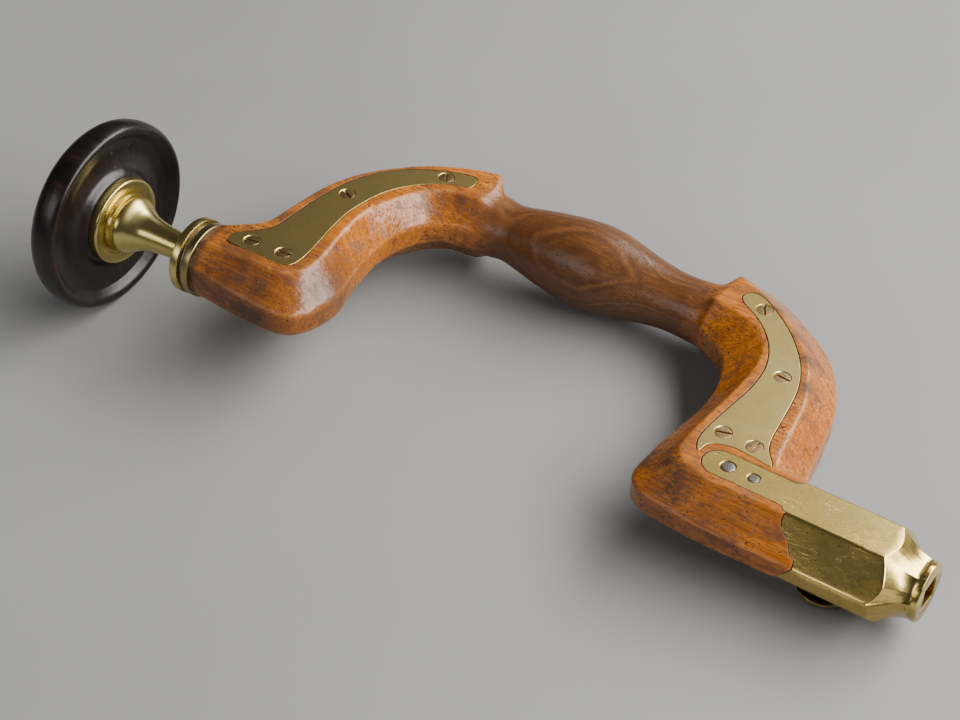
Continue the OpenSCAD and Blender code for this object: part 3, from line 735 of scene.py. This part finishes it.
stock = make("stock_wood", *stock_mesh(), sharp=40)
upper = closed_curve(UPPER_OUTLINE, 8)
lower = closed_curve(LOWER_OUTLINE, 8)
pockets = [root_cutter()]
for outline in (upper, lower):
    wide = offset(outline, 0.30)
    pockets += [prism(wide, FACE_Z - 2.5, 20), prism(wide, -20, 2.5 - FACE_Z)]
cut(stock, pockets, sharp=40)
wide = strap_outline(0.22)
cut(stock, [prism(wide, FACE_Z - 3.1, 20), prism(wide, -20, 3.1 - FACE_Z)], sharp=40)
place(stock, BEECH, "stock", "beech", "stock")

# ---------------------------------------------------------------- plates and screws


def flip(v):
    """Mirror to the back face."""
    return np.asarray(v, float) * np.array([1, 1, -1])


def plate(name, outline, holes, back, node):
    """Flush plate with a softened rim and countersunk holes."""
    rims = [(0.0, FACE_Z - 2.4), (0.0, FACE_Z - 0.14), (-0.05, FACE_Z - 0.04), (-0.16, FACE_Z + 0.01)]
    rings = [np.column_stack([offset(outline, d), np.full(len(outline), z)]) for d, z in rims]
    verts, faces = loft(rings)
    hole = [(1.5, -3.0), (1.5, -2.1), (3.22, -0.12), (3.40, 0.02), (3.45, 0.6)]
    a = angles(48)
    cones = [loft([disc(a, r, FACE_Z + z, x, y) for r, z in hole]) for x, y, _ in holes]
    ob = make(name, flip(verts) if back else verts, faces)
    cut(ob, [(flip(v), f) if back else (v, f) for v, f in cones], sharp=12)
    return place(ob, PLATE, "stock", "plate_brass", node)


def screw_proto():
    """Countersunk slotted head, slightly sunk, with a worn slot."""
    shank = [(0.02, -10.9), (1.2, -10.2), (1.4, -2.2)]
    top = [(3.02, -0.34), (3.1, -0.22), (3.02, -0.14), (2.6, -0.10), (1.4, -0.07), (0.02, -0.06)]
    a = angles(48)
    ob = make("screw_proto", *loft([disc(a, r, z) for r, z in shank + top]), world=Matrix())
    slot = np.array([(-4, -0.42), (4, -0.42), (4, 0.42), (-4, 0.42)])
    cut(ob, [prism(slot, -1.0, 1.0)], world=Matrix())
    v = np.array([q.co[:] for q in ob.data.vertices]) / MM
    f = [tuple(p.vertices) for p in ob.data.polygons]
    bpy.data.objects.remove(ob)
    return v, f


PROTO = screw_proto()


def screws(name, holes, back, node):
    """One plate's screws, each turned its own way and sunk a little more or less."""
    parts = []
    for k, (x, y, turn) in enumerate(holes):
        c, s = math.cos(math.radians(turn)), math.sin(math.radians(turn))
        spot = np.array([x, y, FACE_Z - 0.05 * (k % 3)])
        v = PROTO[0] @ np.array([[c, s, 0], [-s, c, 0], [0, 0, 1]]) + spot
        parts.append((flip(v) if back else v, PROTO[1]))
    return place(make(name, *join(parts), sharp=30), SCREW, "stock", "screw_brass", node)


for tag, back in (("front", False), ("back", True)):
    plate("plate_upper_" + tag, upper, UPPER_SCREWS, back, "upper_plate_" + tag)
    plate("plate_lower_" + tag, lower, LOWER_SCREWS, back, "lower_plate_" + tag)
    screws("screw_set_upper_" + tag, UPPER_SCREWS, back, "upper_screws_" + tag)
    screws("screw_set_lower_" + tag, LOWER_SCREWS, back, "lower_screws_" + tag)

# ---------------------------------------------------------------- chuck

# Where the bar ends and the cove begins: x by direction, in degrees up from the y axis towards
# the plate faces. STAR_X is for the side that the camera sees, STAR_FAR for the crank's side.
STAR_AT = [0, 5, 8.6, 14.5, 21.3, 28.7, 37.2, 45.5, 52.8, 59.6, 68.4, 79.5, 90]
STAR_X = [353.2, 352.9, 351.8, 353.6, 354.6, 354.9, 354.2, 353.3, 352.5, 351.4, 352.2, 353.3, 353.5]
STAR_FAR = [352.2, 352.0, 351.4, 351.8, 352.1, 352.2, 352.0, 351.7, 351.4, 350.8, 352.0, 353.2, 353.5]
STAR_BACK = 0.35
COVE_END = 364.0
NOSE_R = 10.8
# x and radius round the nose rim, then x and half width down the square socket
RIM = ((365.1, NOSE_R), (365.5, 10.72), (365.8, 10.45), (NOSE_X, 10.1), (NOSE_X, 8.6))
SOCKET = ((NOSE_X, 5.55), (365.7, 5.32), (350.0, 4.6), (335.0, 4.0))
# how much of the bar's section is left along the cove, from its start to the nose rim
COVE = [[0, 1], [0.12, 0.82], [0.28, 0.59], [0.48, 0.345], [0.73, 0.12], [0.93, 0.012], [1, 0]]
COVE_S, COVE_G = open_curve(COVE, 8).T


def chuck_rear(y, z, on_face):
    """x of the chuck's rear edge at one point of its section, with the straps on the faces."""
    y = abs(y)
    if on_face and y <= STRAP_W + 0.0001:
        return STRAP_X - math.sqrt(max(0.0, STRAP_W ** 2 - y ** 2))
    if on_face and y < STRAP_ROOT:
        return float(np.interp(y, [STRAP_W, STRAP_W + 0.25, STRAP_ROOT], [311.0, 312.6, 314.2]))
    return rear_edge(y, z)


def eight_sided(fold):
    """Radius of an octagon through the nose rim with the bar's corner directions."""
    low, high = math.atan2(BAR_C, BAR_B), math.atan2(FACE_Z, BAR_W)
    lo = np.where(fold < low, -low, np.where(fold < high, low, high))
    hi = np.where(fold < low, low, np.where(fold < high, high, math.pi - high))
    return NOSE_R * np.cos((hi - lo) / 2) / np.cos(fold - (hi + lo) / 2)


def chuck_mesh():
    """Bar, straps, cove, nose rim and socket as one skin, in rings from the rear to the socket."""
    full, rho = chuck_section()
    n = len(full)
    cs, sn = np.cos(full), np.sin(full)
    y, z = rho * cs, rho * sn
    on_face = np.abs(z) > FACE_Z - 0.02
    rear = np.array([chuck_rear(*at) for at in zip(y, z, on_face)])
    fold = np.arctan2(np.abs(sn), np.abs(cs))
    degrees = np.degrees(fold)
    star = np.where(cs > 0, np.interp(degrees, STAR_AT, STAR_FAR), np.interp(degrees, STAR_AT, STAR_X))
    rows = []

    def put(x, r):
        rows.append(np.stack([np.broadcast_to(x, cs.shape), r * cs, r * sn], 1))

    deep = rho - np.where(on_face, 3.0 / np.abs(np.where(sn == 0, 1, sn)), 2.5)
    lip = rear + 0.24
    put(317.0, rho * 0.25)
    put(np.maximum(rear, 314.5), deep)
    put(rear, deep)
    put(rear, rho - 0.22)
    put(lip, rho)
    for s in np.linspace(0, 1, 26)[1:-1]:
        put(lip + (star - STAR_BACK - lip) * s, rho)
    # the cove keeps the bar's eight flats nearly to the round nose rim
    eight = eight_sided(fold)
    for lap in (0.0, 0.2, STAR_BACK):
        put(star - STAR_BACK + lap, rho - lap ** 2 * 0.9)
    for s in np.linspace(0, 1, 27)[1:] ** 1.15:
        left = np.interp(s, COVE_S, COVE_G)
        turned = np.interp(s, [0.80, 0.92, 1.0], [0.0, 0.35, 1.0])
        nose = eight + (NOSE_R - eight) * turned
        put(star + (COVE_END - star) * s, nose + (rho - 0.11 - nose) * left)
    for x, r in RIM:
        put(x, np.full(n, r))
    square = np.minimum(1 / np.maximum(np.abs(cs), 1e-9), 1 / np.maximum(np.abs(sn), 1e-9))
    for x, half in SOCKET:
        put(x, square * half)
    rows = np.array(rows)
    # a little uneven, but not inside the wood or the socket
    for row in rows[4:-4]:
        for k, v in enumerate(row):
            d = 0.03 * nz(v, 0.10, 2) + 0.015 * nz(v, 0.5, 6)
            row[k, 1] += cs[k] * d
            row[k, 2] += sn[k] * d
    return loft(rows)


chuck = make("chuck_pad", *chuck_mesh(), sharp=24)
slot = np.array([(316.5, -2.6), (350.5, -2.6), (350.5, 2.6), (316.5, 2.6)])
cuts = [prism(slot, -20, -7.2)]
for _, x, r, _ in RIVETS:
    hole = disc(angles(40), r, 0.0, x)[:, :2]
    cuts += [prism(hole, FACE_Z - 0.5, 20), prism(hole, -20, 0.5 - FACE_Z)]
cut(chuck, cuts, sharp=24)
place(chuck, CHUCK, "stock", "polished_brass", "chuck")


def rivet(name, x, r, node):
    """Both ends of a rivet through the straps, each a low dome."""
    dome = [(0.02, 0.05), (r * 0.45, 0.045), (r * 0.80, 0.03), (r * 0.95, -0.03), (r, -0.20)]
    ends = [(q, FACE_Z + z) for q, z in dome] + [(q, -FACE_Z - z) for q, z in dome[::-1]]
    rings = [disc(angles(40), q, z, x) for q, z in ends]
    for ring in rings:
        for v in ring:
            v[2] += 0.05 * nz(v, 0.9, r)
    return place(make(name, *loft(rings), sharp=50), STEEL, "stock", "steel", node)


for tag, x, _, r in RIVETS:
    rivet("rivet_strap_" + tag, x, r, "rivet_" + tag)

# ---------------------------------------------------------------- turned pieces

# Profiles are x and radius. Sharp steps are plain points; rounded parts go through soft().
FLANGE_X = 20.9
HEAD_R = 39.2
COLLAR_X = 55.3
BORE_R = 4.1


def soft(points, k=6):
    return [tuple(p) for p in open_curve(points, k)]


crown = [[0.0, 0.02], [0.5, 14], [1.7, 24], [3.3, HEAD_R - 5.9], [4.7, HEAD_R - 2.6],
         [7.6, HEAD_R - 0.6], [11.3, HEAD_R], [14.2, HEAD_R - 0.2], [16.2, HEAD_R - 1.0],
         [16.9, HEAD_R - 2.3], [16.3, HEAD_R - 3.8], [14.9, HEAD_R - 5.2], [13.4, HEAD_R - 6.7]]
below = [crown[-1], [12.5, 28.0], [12.8, 25.0], [14.0, 21.2], [16.3, 18.9], [16.9, 18.3]]
profile = soft(crown)[:-1] + soft(below) + [(16.9, 9.6), (8.0, 9.6), (8.0, 0.02)]
head = lathe("head_mushroom", profile, 256, wobble=0.10, sharp=45)
place(head, EBONY, "head", "ebony", "head")

profile = [(16.95, 9.6), (16.95, 17.4), (17.25, 17.75), (19.9, 17.8), (20.5, 17.65),
           (20.86, 17.2), (FLANGE_X, 16.8), (FLANGE_X, 13.9), (20.7, 13.5), (20.3, 13.3),
           (20.2, 12.9), (20.2, 9.6)]
flange = lathe("flange_ring", profile, sharp=40)
place(flange, TURNED, "head", "polished_brass", "head_flange")

# the neck's long soft run is measured from the flange, its collar from the collar's own shoulder
bell = [(0, 12.2), (1.6, 11.8), (3.2, 12.0), (5.2, 11.4), (8.5, 9.3), (12.5, 7.4), (18, 6.3),
        (25, 5.7), (31, 5.5)]
waist = [[FLANGE_X + x, r] for x, r in bell] + [[COLLAR_X - 1.0, 6.1], [COLLAR_X - 0.1, 8.2]]
collar = [(0, 14.3), (0.12, 14.8), (0.42, 15.17), (0.55, 15.2), (3.2, 15.2), (3.5, 15.1),
          (3.7, 14.7), (3.7, 9.0), (3.88, 9.0), (3.88, BORE_R)]
profile = [(8.1, BORE_R), (8.1, 9.5), (20.25, 9.5), (20.25, 12.0), (20.6, 12.25)]
profile += soft(waist, 8) + [(COLLAR_X + x, r) for x, r in collar]
place(lathe("neck_bell", profile, sharp=40), TURNED, "head", "polished_brass", "neck")

profile = [(59.25, BORE_R), (59.25, 13.5), (59.4, 13.8), (59.65, 13.9), (60.1, 13.9), (60.3, 13.8),
           (60.45, 13.5), (60.45, BORE_R)]
washer = lathe("washer_thrust", profile, 160, sharp=50)
place(washer, STEEL, "stock", "steel", "thrust_washer")

profile = [(WOOD_X, BORE_R), (WOOD_X, 14.7), (63.8, 14.9), (61.4, 14.9), (60.95, 14.75),
           (60.7, 14.3), (60.7, 9.0), (60.5, 9.0), (60.5, BORE_R)]
ferrule = lathe("ferrule_ring", profile, 160, sharp=40)
place(ferrule, OLIVE, "stock", "plate_brass", "ferrule")

# ---------------------------------------------------------------- CAD pieces that stay

STAYING = (("catch_lever", TURNED), ("catch_pin", STEEL), ("catch_spring", SPRING),
           ("spring_screw", STEEL), ("spindle", STEEL), ("spindle_washer", STEEL))
for node, mat in STAYING:
    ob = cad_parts[node]
    ob.data.materials.clear()
    ob.data.materials.append(mat)

# ---------------------------------------------------------------- stage, lights, camera


def floor_material():
    """Pale, dull grey with a faint unevenness."""
    g = Nodes("floor_pale")
    n = g.noise(g.scaled(0.004, 0.004, 0.004), detail=3.0)
    fine = g.noise(g.scaled(0.6, 0.6, 0.6), detail=2.0)
    col = g.ramp(n, (0.3, (0.255, 0.255, 0.252)), (0.7, (0.280, 0.280, 0.277)))
    return g.finish(col, g.span(fine, 0.3, 0.7, 0.55, 0.65), ((fine, 0.00002),), Specular_IOR_Level=0.3)


FLOOR_HALF = 6
corner_xy = ((-1, -1), (1, -1), (1, 1), (-1, 1))
me = bpy.data.meshes.new("floor")
me.from_pydata([(x * FLOOR_HALF, y * FLOOR_HALF, 0) for x, y in corner_xy], [], [(0, 1, 2, 3)])
floor = bpy.data.objects.new("floor", me)
bpy.context.scene.collection.objects.link(floor)
floor.data.materials.append(floor_material())


def area(name, azimuth, elevation, distance, size, power, colour=(1, 1, 1)):
    """Rectangular lamp that faces the object from the given direction, in degrees and metres."""
    az, el = math.radians(azimuth), math.radians(elevation)
    d = Vector((math.cos(az) * math.cos(el), math.sin(az) * math.cos(el), math.sin(el)))
    light = bpy.data.lights.new(name, "AREA")
    light.shape = "RECTANGLE"
    light.size, light.size_y = size
    light.energy = power
    light.color = colour
    ob = bpy.data.objects.new(name, light)
    bpy.context.scene.collection.objects.link(ob)
    at = Matrix.Translation(Vector((0, 0, 0.03)) + d * distance)
    ob.matrix_world = at @ d.to_track_quat("Z", "Y").to_matrix().to_4x4()


area("softbox_key", 32, 42, 1.5, (3.0, 0.74), 98, (1.0, 0.98, 0.95))
area("softbox_fill", -113, 31, 1.8, (1.25, 0.60), 7.0, (1.0, 0.99, 0.98))
area("softbox_back", 97, 33, 2.0, (1.3, 0.9), 2.0)

world = bpy.data.worlds.new("studio")
bpy.context.scene.world = world
world.use_nodes = True
background = world.node_tree.nodes["Background"]
background.inputs[0].default_value = (0.80, 0.82, 0.85, 1.0)
background.inputs[1].default_value = 0.06

# The camera solved from the photograph, in the brace frame: rotation, shift in mm, focal in pixels
CAM_ROWS = ((0.83240934, 0.55224332, 0.04606521), (-0.37998100, 0.50828946, 0.77282357),
            (0.40337219, -0.66080946, 0.63294686))
CAM_SHIFT = (-157.58293, 62.63149, -809.50908)
CAM_FOCAL = 2020.471
SENSOR = 36.0
PICTURE_WIDTH = 960.0
rows = Matrix([Vector(r) for r in CAM_ROWS])
turn = rows.transposed()
spot = -(turn @ Vector(CAM_SHIFT)) * MM
cam_data = bpy.data.cameras.new("camera")
cam_data.sensor_width = SENSOR
cam_data.lens = CAM_FOCAL * SENSOR / PICTURE_WIDTH
cam_data.clip_start = 0.01
camera = bpy.data.objects.new("camera", cam_data)
bpy.context.scene.collection.objects.link(camera)
camera.matrix_world = REST @ (Matrix.Translation(spot) @ turn.to_4x4())
bpy.context.scene.camera = camera


def corners(box):
    return [list(map(float, v)) for v in box]
